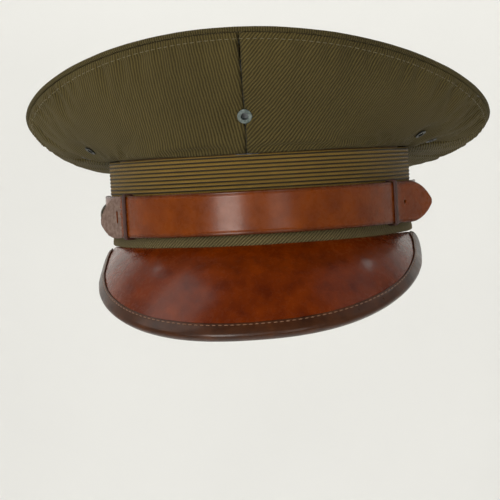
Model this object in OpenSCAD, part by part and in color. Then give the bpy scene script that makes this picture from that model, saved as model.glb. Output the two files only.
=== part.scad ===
// Military peaked cap: a soft cloth crown on a stiff band, a leather visor and a chin strap.
// Millimetres. The origin is the centre of the head opening in the plane of the band's lower
// edge, +Z is up and the cap faces -Y, so +X is the cap's left hand side as it is worn.

/* [Band] */
// Width of the band across its outer face
band_width = 168; // [150:1:190]
// Length of the band across its outer face, front to back
band_length = 208; // [190:1:230]
// Height of the band
band_height = 45; // [38:1:52]
// Width of the ribbed braid, measured down from the top of the band
braid_width = 38; // [32:1:38]

/* [Crown] */
// Width of the crown across its rim
rim_width = 260; // [240:1:280]
// Length of the crown along its rim
rim_length = 276; // [250:1:290]
// How far the rim's centre sits behind the centre of the band
rim_shift = 14; // [8:1:24]
// Height of the rim at the front
rim_front = 106; // [95:1:112]
// Height of the rim at the sides
rim_side = 63; // [60:1:72]
// Height of the rim at the back
rim_back = 46; // [44:1:56]
// How much lower the rim hangs on the +X side than at its mean height
rim_lean = 3; // [0:1:4]
// Thickness of the crown cloth
cloth = 1.0; // [0.8:0.1:1.2]

/* [Visor] */
// Height of the visor's edge below the band, at the front
visor_drop = 42; // [37:0.5:46]
// How far the visor reaches forward of the band
visor_reach = 34.5; // [30:0.5:40]
// Width of the visor
visor_width = 173.5; // [168:0.5:178]
// How much higher the visor's edge sits at the +X corner than at its mean height
visor_lean = 1.5; // [0:0.5:2]
// Width of the binding round the visor's edge
binding_width = 6.5; // [5:0.5:8]

/* [Chin strap] */
// Width of the strap
strap_width = 22; // [18:1:24]
// Height of the middle of the strap above the lower edge of the band
strap_height = 16; // [15:1:18]
// Thickness of the outer leather
outer_leather = 1.8; // [1.4:0.1:2.0]
// Thickness of the inner leather
inner_leather = 1.5; // [1.2:0.1:1.6]
// Length of each free strap end behind its bend
tail_length = 27; // [24:1:30]
// Angle by which the -X strap end bends away from the band
tail_lift_left = 3; // [2:1:8]
// Angle by which the +X strap end bends away from the band
tail_lift_right = 13; // [8:1:16]
// Width of each keeper loop
keeper_width = 3.2; // [2.5:0.1:4]

/* [Metal fittings] */
// Radius of a side button
button_radius = 7; // [6:0.5:8]
// Radius of the bore of the badge eyelet
badge_bore = 1.9; // [1.7:0.1:2.2]
// Radius of the bore of a vent eyelet
vent_bore = 1.6; // [1.4:0.1:1.9]

/* [Hidden] */
$fn = 96;

// The band's outline is an oval of four arcs: two flat side arcs and two rounder end arcs.
// side_c and end_c are how far the arcs' centres lie from the middle.
side_c = 40;
side_r = band_width / 2 + side_c;
flatness = side_r - band_length / 2;
end_c = (side_c * side_c - flatness * flatness) / (2 * flatness);
end_r = band_length / 2 - end_c;
// Angle at which a side arc meets an end arc
join_a = atan2(end_c, side_c);

// Radial places of the band's layers, from the outer face of the braid inwards
braid_in = -1.2;
cloth_out = -1.3;
cloth_in = -2.3;
stiff_out = -2.4;
stiff_in = -3.9;
washer_out = -4.1;
washer_in = -4.9;
sweat_out = -5.2;
sweat_in = -6.3;
sweat_top = 38;
bead_r = 0.9;

// Radial places of the strap's layers, from the outer face of the braid outwards
loop_wall = 0.8;
loop_gap = 0.25;
loop_in = 0.45;
inner_in = loop_in + loop_wall + loop_gap;
inner_out = inner_in + inner_leather;
outer_in = inner_out + 0.1;
outer_out = outer_in + outer_leather;
loop_out = outer_out + loop_gap + loop_wall;

// Places of the keepers on the side arcs, and how far behind each one its strap end bends away
keeper_left_a = 33.4;
keeper_right_a = 28.3;
keeper_to_bend = 1.1;
tail_bend = 25;

crown_base = band_height + 0.2;
seam_gap = 0.07;
// The top panel's reach as a share of the rim, and the side panels' distance from the rim
top_reach = 0.985;
rim_clearance = 1.85;
welt_r = 1.3;
hoop_r = 1.2;
hoop_rho = 0.94;
hoop_drop = 3.2;
lining_drop = 2.6;
lining_rho = 0.9;
lining_base = 42;
lining_out = -6.5;
lining_top_thick = 0.6;
lining_side_thick = 0.8;
// How far below the lining's top panel the side panel's upper edge ends
lining_seam = 1.3;

badge_v = 0.31;
// Radii of the rolled flanges of the badge eyelet and of a vent eyelet
badge_flange = 3.8;
vent_flange = 3.2;
// The two vent eyelets of a side lie round this angle from the front, spread to either side of it
vent_v = 0.24;
vent_mid = 76;
vent_spread = 9;
shank_r = 1.2;
shank_hole = 1.28;
button_base = inner_out + 0.3;
button_rise = 4.5;

visor_end_a = 73;
// Place of the visor's root, from the braid's outer face, its height, and its fall to the corners
visor_root_out = -0.8;
visor_root = -0.3;
visor_root_fall = 0.9;
visor_mid_y = -33;
visor_side_drop = 11;
// 1 makes the visor's edge an ellipse, less makes it squarer
visor_square = 0.87;
visor_bulge = 3;
visor_skin = 1.2;
visor_board = 1.8;
visor_lining = 0.9;
visor_gap = 0.1;
core_top = visor_skin + visor_gap;
under_top = core_top + visor_board + visor_gap;
visor_bottom = under_top + visor_lining;
// How far round the visor runs, as a share of the way to its end points on the band
visor_end = 0.98;

// Directions in which the closed rings round the crown have their points
turn_step = 5;
turns = [0:turn_step:360 - turn_step];

// Value that goes smoothly from front to side to back as t goes from 0 to 90 to 180 degrees
function around(front, side, back, t) =
    let (mean = (front + back) / 2)
    (mean + side) / 2 + (front - back) / 2 * cos(t) + (mean - side) / 2 * cos(2 * t);

function outward(t) = [sin(t), -cos(t), 0];
function bezier(p, v) =
    pow(1 - v, 3) * p[0] + 3 * v * pow(1 - v, 2) * p[1]
    + 3 * v * v * (1 - v) * p[2] + pow(v, 3) * p[3];
function unit(p) = p / norm(p);

// Distance from the origin to the band's outline in the direction t, offset outwards by d
function band_r(t, d) =
    let (
        x = abs(sin(t)),
        y = abs(cos(t)),
        join_x = (side_r + d) * cos(join_a) - side_c,
        join_y = (side_r + d) * sin(join_a)
    )
    y * join_x < x * join_y
        ? sqrt(pow(side_r + d, 2) - pow(side_c * y, 2)) - side_c * x
        : sqrt(pow(end_r + d, 2) - pow(end_c * x, 2)) + end_c * y;
function band_point(t, d, z) = band_r(t, d) * outward(t) + [0, 0, z];

// Height of the crown's top: a stretched saddle, high at the front
function top_z(rho, t) =
    let (mean = (rim_front + rim_back) / 2)
    (mean + rim_side) / 2 + rho * (rim_front - rim_back) / 2 * cos(t)
    + rho * rho * (mean - rim_side) / 2 * cos(2 * t) - rho * rim_lean * sin(t);
function top_point(rho, t, drop) = [
    rho * rim_width / 2 * sin(t),
    rim_shift - rho * rim_length / 2 * cos(t),
    top_z(rho, t) - drop
];

// Side surface of the crown: v goes from 0 at the band to 1 at the rim
function crown_curve(t) =
    let (
        low = band_point(t, -0.3, crown_base),
        high = top_point(1, t, 0)
    )
    [
        low,
        low + around(2, 17, 19, t) * outward(t) + [0, 0, around(19, 4, -1, t)],
        high + around(-5, 0, 4, t) * outward(t) + [0, 0, around(-18, -10, -32, t)],
        high
    ];
function crown_point(t, v) = bezier(crown_curve(t), v);
// Where a side panel ends, short of the welt at the rim
function crown_reach(t) =
    let (curve = crown_curve(t))
    1 - rim_clearance / (3 * norm(curve[3] - curve[2]));
function crown_normal(t, v) =
    unit(cross(crown_point(t + 1, v) - crown_point(t - 1, v),
               crown_point(t, v + 0.01) - crown_point(t, v - 0.01)));

// Side surface of the lining, from inside the band to inside the rim
function lining_curve(t) =
    let (
        low = band_point(t, lining_out, lining_base),
        high = top_point(lining_rho, t, lining_drop + lining_seam)
    )
    [
        low,
        low + [0, 0, around(16, 16, 11, t)],
        high - around(3, 14, 15, t) * outward(t) + [0, 0, around(-16, -3, 0, t)],
        high
    ];

// Outer edge of the visor: s goes from -1 to 1 round it, the front is at 0
function visor_arc(a) =
    let (
        across = sign(a) * pow(abs(sin(a)), visor_square),
        along = pow(cos(a), visor_square)
    )
    [
        visor_width / 2 * across,
        visor_mid_y - (band_length / 2 + visor_reach + visor_mid_y) * along,
        -visor_side_drop - (visor_drop - visor_side_drop) * along
    ];
visor_front_share = 0.75;
visor_front_a = 80;
function visor_corner(v) =
    let (start = visor_arc(visor_front_a), lead = visor_arc(visor_front_a + 9))
    bezier([start, lead, [86.2, -29, -7.5], [83.8, -27, -3]], v);
function visor_edge(s) =
    let (
        past_front = (abs(s) - visor_front_share) / (1 - visor_front_share),
        p = past_front <= 0
            ? visor_arc(abs(s) / visor_front_share * visor_front_a)
            : visor_corner(past_front)
    )
    [sign(s) * p[0], p[1], p[2] + visor_lean * sign(s) * p[0] / visor_width * 2];
function visor_face(s, v) =
    let (t = s * visor_end_a)
    (1 - v) * band_point(t, visor_root_out, visor_root - visor_root_fall * s * s) + v * visor_edge(s)
    + visor_bulge * cos(85 * s) * sin(180 * v) * [0.77 * sin(t), -0.77 * cos(t), 0.64];
function visor_normal(s, v) =
    unit(cross(visor_face(s, v + 0.02) - visor_face(s, v - 0.02),
               visor_face(s + 0.02, v) - visor_face(s - 0.02, v)));
// Point at depth d below the visor's upper face; negative d is above it
function visor_point(s, v, d) = visor_face(s, v) - d * visor_normal(s, v);
function visor_ruling(s) = norm(visor_edge(s) - visor_face(s, 0));

// Closed sheet between two grids of points, [row][column]. The cross product of the rows' and
// the columns' direction points out of the outer grid.
module sheet_solid(outer, inner) {
    rows = len(outer);
    cols = len(outer[0]);
    points = [for (side = [outer, inner]) for (row = side) each row];
    function at(side, i, j) = side * rows * cols + i * cols + j;
    skin = [
        for (i = [0:rows - 2]) for (j = [0:cols - 2]) each [
            [at(0, i, j), at(0, i + 1, j + 1), at(0, i + 1, j)],
            [at(0, i, j), at(0, i, j + 1), at(0, i + 1, j + 1)],
            [at(1, i, j), at(1, i + 1, j), at(1, i + 1, j + 1)],
            [at(1, i, j), at(1, i + 1, j + 1), at(1, i, j + 1)]
        ]
    ];
    long_edges = [
        for (j = [0:cols - 2]) each [
            [at(0, 0, j), at(1, 0, j + 1), at(0, 0, j + 1)],
            [at(0, 0, j), at(1, 0, j), at(1, 0, j + 1)],
            [at(0, rows - 1, j), at(0, rows - 1, j + 1), at(1, rows - 1, j + 1)],
            [at(0, rows - 1, j), at(1, rows - 1, j + 1), at(1, rows - 1, j)]
        ]
    ];
    short_edges = [
        for (i = [0:rows - 2]) each [
            [at(0, i, 0), at(1, i + 1, 0), at(1, i, 0)],
            [at(0, i, 0), at(0, i + 1, 0), at(1, i + 1, 0)],
            [at(0, i, cols - 1), at(1, i, cols - 1), at(1, i + 1, cols - 1)],
            [at(0, i, cols - 1), at(1, i + 1, cols - 1), at(0, i + 1, cols - 1)]
        ]
    ];
    polyhedron(points, concat(skin, long_edges, short_edges));
}

// Closed tube through rings of points; open tubes get end caps
module tube_solid(rings, closed) {
    count = len(rings);
    sides = len(rings[0]);
    last = closed ? count - 1 : count - 2;
    walls = [
        for (i = [0:last]) for (j = [0:sides - 1])
            let (a = i * sides, b = (i + 1) % count * sides, k = (j + 1) % sides)
            each [[a + j, a + k, b + k], [a + j, b + k, b + j]]
    ];
    caps = closed ? [] : [
        for (j = [1:sides - 2]) each [
            [0, j + 1, j],
            [(count - 1) * sides, (count - 1) * sides + j, (count - 1) * sides + j + 1]
        ]
    ];
    polyhedron([for (ring = rings) each ring], concat(walls, caps));
}

// A round rod whose middle follows the points of a closed loop round the crown
module loop_rod(path, r) {
    step = 360 / len(path);
    tube_solid([
        for (i = [0:len(path) - 1])
            [for (a = [0:45:315]) path[i] + r * (cos(a) * outward(i * step) + sin(a) * [0, 0, 1])]
    ], true);
}

function reversed(list) = [for (i = [len(list) - 1:-1:0]) list[i]];

// Sheet that closes on itself round the cap; a row runs from its lower edge to its upper edge
module ring_sheet(outer, inner) {
    tube_solid([for (i = [0:len(outer) - 1]) concat(outer[i], reversed(inner[i]))], true);
}

// Sweeps a 2D profile, drawn at its offset from the braid's outer face, along one of the band's
// arcs in the +X, -Y quadrant: each starts where the two arcs meet and runs on by the angle
module side_arc(angle) {
    translate([-side_c, 0, 0])
        rotate([0, 0, -join_a])
            rotate_extrude(angle = angle)
                translate([side_r, 0])
                    children();
}
module end_arc(angle) {
    mirror([0, 1, 0])
        translate([0, end_c, 0])
            rotate([0, 0, join_a])
                rotate_extrude(angle = angle)
                    translate([end_r, 0])
                        children();
}
// The whole oval; the quadrants' arcs overlap a little where they cross the axes
module band_ring() {
    for (x = [0, 1]) {
        for (y = [0, 1]) {
            mirror([x, 0, 0]) mirror([0, y, 0]) {
                side_arc(join_a + 2) children();
                end_arc(92 - join_a) children();
            }
        }
    }
}
module wall(inside, outside, low, high) {
    translate([inside, low]) square([outside - inside, high - low]);
}

// Bores for the shanks of both side buttons
module shank_holes() {
    translate([-band_width, 0, strap_height])
        rotate([0, 90, 0])
            cylinder(r = shank_hole, h = 2 * band_width);
}

// Puts a child, drawn round the Z axis, on the crown with +Z along the outward normal
module on_crown(t, v) {
    n = crown_normal(t, v);
    translate(crown_point(t, v))
        rotate([0, acos(n[2]), atan2(n[1], n[0])])
            children();
}
module crown_holes() {
    on_crown(0, badge_v) translate([0, 0, -4]) cylinder(r = badge_bore + 1.0, h = 8);
    for (side = [-1, 1]) {
        for (a = [-vent_spread, vent_spread]) {
            on_crown(side * (vent_mid + a), vent_v)
                translate([0, 0, -4]) cylinder(r = vent_bore + 1.0, h = 8);
        }
    }
}

// One side panel of the crown, from angle t0 to t1
module quarter(t0, t1) {
    turns = [for (i = [0:20]) t0 + (t1 - t0) * i / 20];
    steps = [0:0.1:1];
    outer = [for (t = turns) [for (v = steps) crown_point(t, v * crown_reach(t))]];
    inner = [
        for (t = turns) [
            for (v = steps)
                crown_point(t, v * crown_reach(t)) - cloth * crown_normal(t, v * crown_reach(t))
        ]
    ];
    color("darkolivegreen")
        difference() {
            sheet_solid(outer, inner);
            crown_holes();
        }
}
module quarter_front_left() { quarter(-90 + seam_gap, -seam_gap); }
module quarter_front_right() { quarter(seam_gap, 90 - seam_gap); }
module quarter_back_right() { quarter(90 + seam_gap, 180 - seam_gap); }
module quarter_back_left() { quarter(180 + seam_gap, 270 - seam_gap); }

// Oval sheet that follows the crown's top from the middle out to the reach, a share of the rim
module crown_disc(reach, drop, thick) {
    rings = 7;
    sides = 360 / turn_step;
    points = concat(
        [top_point(0, 0, drop), top_point(0, 0, drop + thick)],
        [for (i = [1:rings]) for (t = turns) top_point(reach * i / rings, t, drop)],
        [for (i = [1:rings]) for (t = turns) top_point(reach * i / rings, t, drop + thick)]);
    function at(side, i, j) = 2 + side * rings * sides + (i - 1) * sides + j % sides;
    middle_and_edge = [
        for (j = [0:sides - 1]) each [
            [0, at(0, 1, j + 1), at(0, 1, j)],
            [1, at(1, 1, j), at(1, 1, j + 1)],
            [at(0, rings, j), at(0, rings, j + 1), at(1, rings, j + 1)],
            [at(0, rings, j), at(1, rings, j + 1), at(1, rings, j)]
        ]
    ];
    faces = [
        for (i = [1:rings - 1]) for (j = [0:sides - 1]) each [
            [at(0, i, j), at(0, i, j + 1), at(0, i + 1, j + 1)],
            [at(0, i, j), at(0, i + 1, j + 1), at(0, i + 1, j)],
            [at(1, i, j), at(1, i + 1, j + 1), at(1, i, j + 1)],
            [at(1, i, j), at(1, i + 1, j), at(1, i + 1, j + 1)]
        ]
    ];
    polyhedron(points, concat(middle_and_edge, faces));
}
module crown_top() { color("darkolivegreen") crown_disc(top_reach, 0, cloth); }
module lining_top() {
    color("saddlebrown") crown_disc(lining_rho - 0.006, lining_drop, lining_top_thick);
}

module rim_welt() {
    drop = 0.3;
    color("olive") loop_rod([for (t = turns) top_point(1, t, drop)], welt_r);
}
module rim_hoop() {
    color("dimgray") loop_rod([for (t = turns) top_point(hoop_rho, t, hoop_drop)], hoop_r);
}

// Flat spring behind the middle of the crown's front
module front_stay() {
    half_width = 6;
    thick = 0.7;
    inset = 3.2;
    foot_y = band_length / 2 + washer_out - 0.4;
    spine = concat(
        [[foot_y, 28], [foot_y, crown_base]],
        [for (v = [0.25:0.125:0.75]) [-crown_point(0, v)[1] - inset, crown_point(0, v)[2]]]);
    outline = concat(spine, [for (i = [len(spine) - 1:-1:0]) spine[i] - [thick, 0]]);
    color("silver")
        translate([-half_width, 0, 0])
            mirror([0, 1, 0])
                rotate([90, 0, 90])
                    linear_extrude(2 * half_width)
                        polygon(outline);
}

module band_cloth() {
    color("olive")
        difference() {
            band_ring() {
                union() {
                    wall(cloth_in, cloth_out, 0, band_height);
                    translate([cloth_out - bead_r, 0]) circle(r = bead_r, $fn = 12);
                }
            }
            shank_holes();
        }
}
module band_stiffener() {
    color("tan")
        difference() {
            band_ring() wall(stiff_in, stiff_out, bead_r + 0.3, band_height);
            shank_holes();
        }
}
module band_braid() {
    color("darkkhaki")
        difference() {
            band_ring() wall(braid_in, 0, band_height - braid_width, band_height);
            shank_holes();
        }
}
module sweatband() { color("peru") band_ring() wall(sweat_in, sweat_out, 0, sweat_top); }
module sweatband_reed() {
    color("sienna") band_ring() translate([sweat_out + 0.1 + bead_r, 0]) circle(r = bead_r, $fn = 12);
}
module lining_side() {
    steps = [0:0.2:1];
    outer = [for (t = turns) [for (v = steps) bezier(lining_curve(t), v)]];
    inner = [
        for (t = turns) [
            for (v = steps)
                bezier(lining_curve(t), v) + lining_side_thick * unit([0, 0, 1] - outward(t))
        ]
    ];
    color("saddlebrown") ring_sheet(outer, inner);
}

// One leather or board layer of the visor, from depth d0 to d1 below its upper face
module visor_layer(d0, d1) {
    reach = 0.985;
    places = [for (i = [20:-1:-20]) i / 20 * visor_end];
    steps = [0:0.125:1];
    sheet_solid(
        [for (s = places) [for (v = steps) visor_point(s, v * reach, d0)]],
        [for (s = places) [for (v = steps) visor_point(s, v * reach, d1)]]);
}
module visor_top() { color("saddlebrown") visor_layer(0, visor_skin); }
module visor_core() { color("tan") visor_layer(core_top, core_top + visor_board); }
module visor_underside() { color("darkolivegreen") visor_layer(under_top, visor_bottom); }
module visor_binding() {
    wrap = 0.9;
    bottom = visor_bottom;
    // Places of the section's corners: distance in from the edge, depth below the upper face
    section = [
        [binding_width, -0.2], [0.6, -0.2], [-0.35, 0.8], [-0.35, bottom - 0.7], [0.6, bottom + 0.2],
        [binding_width, bottom + 0.2], [binding_width, bottom + wrap], [0.5, bottom + wrap],
        [-1.2, bottom], [-1.5, bottom / 2], [-1.2, 0.2], [0.5, -wrap], [binding_width, -wrap]
    ];
    // The binding narrows where the visor runs out at its corners
    function reach(p, s) =
        let (grip = min(1, 0.7 * visor_ruling(s) / binding_width))
        1 - max(p[0] * grip, p[0] < 1 ? p[0] : 0) / visor_ruling(s);
    rings = [
        for (i = [-40:40])
            let (s = i / 40 * visor_end)
            [for (p = section) visor_point(s, reach(p, s), p[1])]
    ];
    color("sienna") tube_solid(rings, false);
}

// Outline of a free strap end: a straight stretch that runs into a pointed arch
module tail_outline() {
    arch = 12;
    arch_r = strap_width / 2 + arch;
    point = sqrt(arch_r * arch_r - arch * arch);
    translate([0, -strap_width / 2]) square([tail_length - point, strap_width]);
    translate([tail_length - point, 0])
        intersection() {
            translate([0, -arch]) circle(r = arch_r);
            translate([0, arch]) circle(r = arch_r);
            translate([-0.1, -strap_width / 2]) square([point + 1, strap_width]);
        }
}
// Short tongue that joins two stretches of the strap inside the groove between them
module strap_bridge() {
    rim = 0.05;
    reach = 0.6;
    translate([outer_in + rim, -reach, rim - strap_width / 2])
        cube([outer_leather - 2 * rim, 2 * reach, strap_width - 2 * rim]);
}
// Free end on the +X side: it leaves the side arc at angle a, bends out by lift and runs straight
module strap_tail(a, lift) {
    groove = 0.05;
    groove_a = 0.1;
    translate([-side_c, 0, 0])
        rotate([0, 0, -a])
            translate([side_r, 0, strap_height]) {
                strap_bridge();
                translate([tail_bend, 0, 0])
                    rotate([0, 0, 180 - lift])
                        rotate_extrude(angle = lift - groove_a)
                            translate([tail_bend - outer_out, -strap_width / 2])
                                square([outer_leather, strap_width]);
                translate([tail_bend, 0, 0])
                    rotate([0, 0, -lift])
                        translate([-tail_bend, groove, 0]) {
                            strap_bridge();
                            translate([outer_in, 0, 0])
                                rotate([90, 0, 90])
                                    linear_extrude(outer_leather)
                                        difference() {
                                            tail_outline();
                                            children();
                                        }
                        }
            }
}
module strap_section(inside, outside) {
    wall(inside, outside, strap_height - strap_width / 2, strap_height + strap_width / 2);
}
// The +X half of the outer strap, which leaves the band at angle a; its children cut the free end
module strap_half(a, lift) {
    end_arc(92 - join_a) strap_section(outer_in, outer_out);
    side_arc(join_a - a) strap_section(outer_in, outer_out);
    strap_tail(a, lift) children();
}
module strap_outer() {
    slit = [1.4, 6.5];
    slit_at = 6.5;
    pin_hole_at = 3;
    color("sienna") {
        strap_half(keeper_right_a - keeper_to_bend, tail_lift_right)
            translate([pin_hole_at, 0]) circle(r = 1);
        mirror([1, 0, 0])
            strap_half(keeper_left_a - keeper_to_bend, tail_lift_left)
                translate([slit_at - slit[0] / 2, -slit[1] / 2]) square(slit);
    }
}
module strap_inner() {
    color("sienna")
        difference() {
            intersection() {
                band_ring() strap_section(inner_in, inner_out);
                union() {
                    translate([-band_width, -band_length, 0])
                        cube([2 * band_width, band_length, band_height]);
                    translate([-band_width, 0, strap_height])
                        rotate([0, 90, 0]) cylinder(r = strap_width / 2, h = 2 * band_width);
                }
            }
            shank_holes();
        }
}

module keeper_section() {
    high = strap_width / 2 + loop_gap;
    difference() {
        wall(loop_in, loop_out, strap_height - high - loop_wall, strap_height + high + loop_wall);
        wall(loop_in + loop_wall, loop_out - loop_wall, strap_height - high, strap_height + high);
    }
}
// Each keeper is a short stretch of the side arc that it slides along
module keeper(a) {
    half = keeper_width / (side_r + inner_out) * 90 / PI;
    translate([-side_c, 0, 0])
        rotate([0, 0, -a - half])
            rotate_extrude(angle = 2 * half)
                translate([side_r, 0])
                    keeper_section();
}
module keeper_left() { color("maroon") mirror([1, 0, 0]) keeper(keeper_left_a); }
module keeper_right() { color("maroon") keeper(keeper_right_a); }

// Button on the +X side: domed cap with a rolled rim, and its shank through the band
module side_button() {
    rim = 1.2;
    dome_r = (button_radius * button_radius + button_rise * button_rise) / (2 * button_rise);
    color("darkslategray")
        translate([band_width / 2, 0, strap_height])
            rotate([0, 90, 0]) {
                translate([0, 0, washer_in]) cylinder(r = shank_r, h = button_base - washer_in + 1);
                translate([0, 0, button_base])
                    intersection() {
                        translate([0, 0, button_rise - dome_r]) sphere(r = dome_r);
                        cylinder(r = button_radius, h = button_rise);
                    }
                translate([0, 0, button_base]) cylinder(r = button_radius, h = rim);
            }
}
module side_button_right() { side_button(); }
module side_button_left() { mirror([1, 0, 0]) side_button(); }
module button_washer() {
    color("gray")
        translate([band_width / 2 + washer_in, 0, strap_height])
            rotate([0, 90, 0])
                difference() {
                    cylinder(r = 4, h = washer_out - washer_in);
                    translate([0, 0, -1]) cylinder(r = shank_r + 0.05, h = 3);
                }
}
module button_washer_right() { button_washer(); }
module button_washer_left() { mirror([1, 0, 0]) button_washer(); }

// Eyelet: a barrel through the cloth with a rolled flange on the outside
module eyelet(bore, flange) {
    barrel = 0.9;
    rotate_extrude()
        union() {
            translate([bore, -2.4]) square([barrel, 3.2]);
            translate([bore, 0.15]) square([flange - bore - 0.4, 0.65]);
            translate([flange - 0.4, 0.475]) circle(r = 0.325);
        }
}
module eyelet_washer(bore, flange) {
    difference() {
        translate([0, 0, -2.2]) cylinder(r = flange, h = 0.6);
        translate([0, 0, -3]) cylinder(r = bore + 1.0, h = 2);
    }
}
module badge_eyelet() {
    color("slategray") on_crown(0, badge_v) eyelet(badge_bore, badge_flange);
}
module badge_eyelet_washer() {
    color("slategray") on_crown(0, badge_v) eyelet_washer(badge_bore, badge_flange + 0.6);
}
module vent_eyelets(side) {
    color("slategray")
        for (a = [-vent_spread, vent_spread]) {
            on_crown(side * (vent_mid + a), vent_v) eyelet(vent_bore, vent_flange);
        }
}
module vent_eyelets_left() { vent_eyelets(-1); }
module vent_eyelets_right() { vent_eyelets(1); }

crown_top();
quarter_front_left();
quarter_front_right();
quarter_back_left();
quarter_back_right();
rim_welt();
rim_hoop();
front_stay();
band_cloth();
band_stiffener();
band_braid();
sweatband();
sweatband_reed();
lining_side();
lining_top();
visor_top();
visor_core();
visor_underside();
visor_binding();
strap_outer();
strap_inner();
keeper_left();
keeper_right();
side_button_left();
side_button_right();
button_washer_left();
button_washer_right();
badge_eyelet();
badge_eyelet_washer();
vent_eyelets_left();
vent_eyelets_right();
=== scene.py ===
"""The looks of a military peaked cap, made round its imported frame.

Lengths are in millimetres, as in the part's source, and become metres where a mesh is made.
Angles are in degrees: 0 is the front of the cap and 90 is its +X side.
"""

import math

import bmesh
import bpy
import numpy as np
from mathutils import Matrix, Vector


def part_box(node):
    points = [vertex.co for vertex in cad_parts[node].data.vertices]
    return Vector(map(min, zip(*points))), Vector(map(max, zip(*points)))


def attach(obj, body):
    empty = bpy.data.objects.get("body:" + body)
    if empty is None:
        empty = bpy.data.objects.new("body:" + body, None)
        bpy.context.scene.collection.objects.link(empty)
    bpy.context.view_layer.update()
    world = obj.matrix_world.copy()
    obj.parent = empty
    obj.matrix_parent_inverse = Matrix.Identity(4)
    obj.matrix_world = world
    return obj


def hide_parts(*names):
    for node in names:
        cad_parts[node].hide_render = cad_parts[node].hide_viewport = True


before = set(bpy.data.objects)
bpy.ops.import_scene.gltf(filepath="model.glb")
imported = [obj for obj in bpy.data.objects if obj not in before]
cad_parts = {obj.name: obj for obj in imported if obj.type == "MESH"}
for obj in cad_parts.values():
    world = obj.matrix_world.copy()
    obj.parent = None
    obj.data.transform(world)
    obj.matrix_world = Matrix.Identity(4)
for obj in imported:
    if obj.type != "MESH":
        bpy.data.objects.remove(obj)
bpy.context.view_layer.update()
scene = bpy.context.scene

MM = 0.001


# ---- sizes, from the frame

def box_mm(node):
    low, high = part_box(node)
    return np.array(low) / MM, np.array(high) / MM


WELT_R = 1.3
WELT_DROP = 0.3
braid_low, braid_high = box_mm("band_braid")
welt_low, welt_high = box_mm("rim_welt")
strap_low, strap_high = box_mm("strap_outer")
BAND_WIDTH = round(braid_high[0] - braid_low[0])
BAND_LENGTH = round(braid_high[1] - braid_low[1])
BAND_HEIGHT = round(braid_high[2])
BRAID_LOW = round(braid_low[2])
RIM_WIDTH = round(welt_high[0] - welt_low[0] - 2 * WELT_R)
RIM_LENGTH = round(welt_high[1] - welt_low[1] - 2 * WELT_R)
RIM_SHIFT = round((welt_high[1] + welt_low[1]) / 2)
RIM_FRONT = round(welt_high[2] - WELT_R + WELT_DROP)
RIM_BACK = round(welt_low[2] + WELT_R + WELT_DROP)
RIM_SIDE = 63
RIM_LEAN = 3
CROWN_BASE = BAND_HEIGHT + 0.2
TOP_REACH = 0.985
RIM_CLEARANCE = 1.85

SIDE_C = 40
SIDE_R = BAND_WIDTH / 2 + SIDE_C
FLATNESS = SIDE_R - BAND_LENGTH / 2
END_C = (SIDE_C**2 - FLATNESS**2) / (2 * FLATNESS)
END_R = BAND_LENGTH / 2 - END_C
JOIN_A = math.degrees(math.atan2(END_C, SIDE_C))

STRAP_WIDTH = round(strap_high[2] - strap_low[2])
STRAP_Z = (strap_high[2] + strap_low[2]) / 2
OUTER_STRAP = (3.1, 4.9)
INNER_STRAP = (1.5, 3.0)
KEEPER_LEFT_A = 33.4
KEEPER_RIGHT_A = 28.3
KEEPER_TO_BEND = 1.1
TAIL = 27
POINT = 19.6
TAIL_ARCH = 12
BEND_R = 25
LEFT_LIFT = 3
RIGHT_LIFT = 13
ROUGH_BEFORE_KEEPER = 5.5
WRINKLE_REACH = 80
SLOT_FROM_KEEPER = 6.5
SLOT_SIZE = (6.5, 1.4)
PIN_HOLE_FROM_KEEPER = 3
PIN_HOLE_R = 1.0
CUT_DEPTH = 8
WALK_STEP = 0.1
KEEPER_SPAN = (0.45, 5.95)
KEEPER_LEATHER = 0.8
KEEPER_WIDTH = 3.2
KEEPER_PLAY = 0.25

BADGE_V = 0.31
VENT_V = 0.24
VENTS = [side * (76 + spread) for side in (-1, 1) for spread in (-9, 9)]

VISOR_WIDTH = 173.5
VISOR_REACH = 34.5
VISOR_DROP = 42
VISOR_SIDE_DROP = 11
VISOR_MID_Y = -33
VISOR_SQUARE = 0.87
VISOR_LEAN = 1.5
VISOR_END_A = 73
VISOR_ROOT = (-0.8, -0.3, 0.9)
VISOR_BULGE = 3
VISOR_FRONT_SHARE = 0.75
VISOR_FRONT_A = 80
VISOR_END = 0.98
VISOR_SKIN = 1.2
VISOR_BOTTOM = 4.1
VISOR_LINING = 0.9
BINDING_WIDTH = 6.5


# ---- the cap's surfaces

def sind(a):
    return np.sin(np.radians(a))


def cosd(a):
    return np.cos(np.radians(a))


def around(front, side, back, t):
    """A value that goes smoothly from front to side to back as t goes from 0 to 90 to 180."""
    mean = (front + back) / 2
    return (mean + side) / 2 + (front - back) / 2 * cosd(t) + (mean - side) / 2 * cosd(2 * t)


def stacked(*grids):
    return np.stack(np.broadcast_arrays(*grids), -1)


def vec(x, y, z):
    return stacked(x, y, z).astype(float)


def outward(t):
    return vec(sind(t), -cosd(t), 0)


def along(length, direction):
    return np.asarray(length)[..., None] * direction


def up(z):
    return vec(0, 0, z)


def bezier(p, v):
    v = np.asarray(v)[..., None]
    w = 1 - v
    return w**3 * p[0] + 3 * v * w**2 * p[1] + 3 * v * v * w * p[2] + v**3 * p[3]


def unit(p):
    return p / np.linalg.norm(p, axis=-1, keepdims=True)


def smoothstep(low, high, x):
    share = np.clip((x - low) / (high - low), 0, 1)
    return share * share * (3 - 2 * share)


def hump(x, middle, width):
    return np.exp(-(((x - middle) / width) ** 2))


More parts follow.
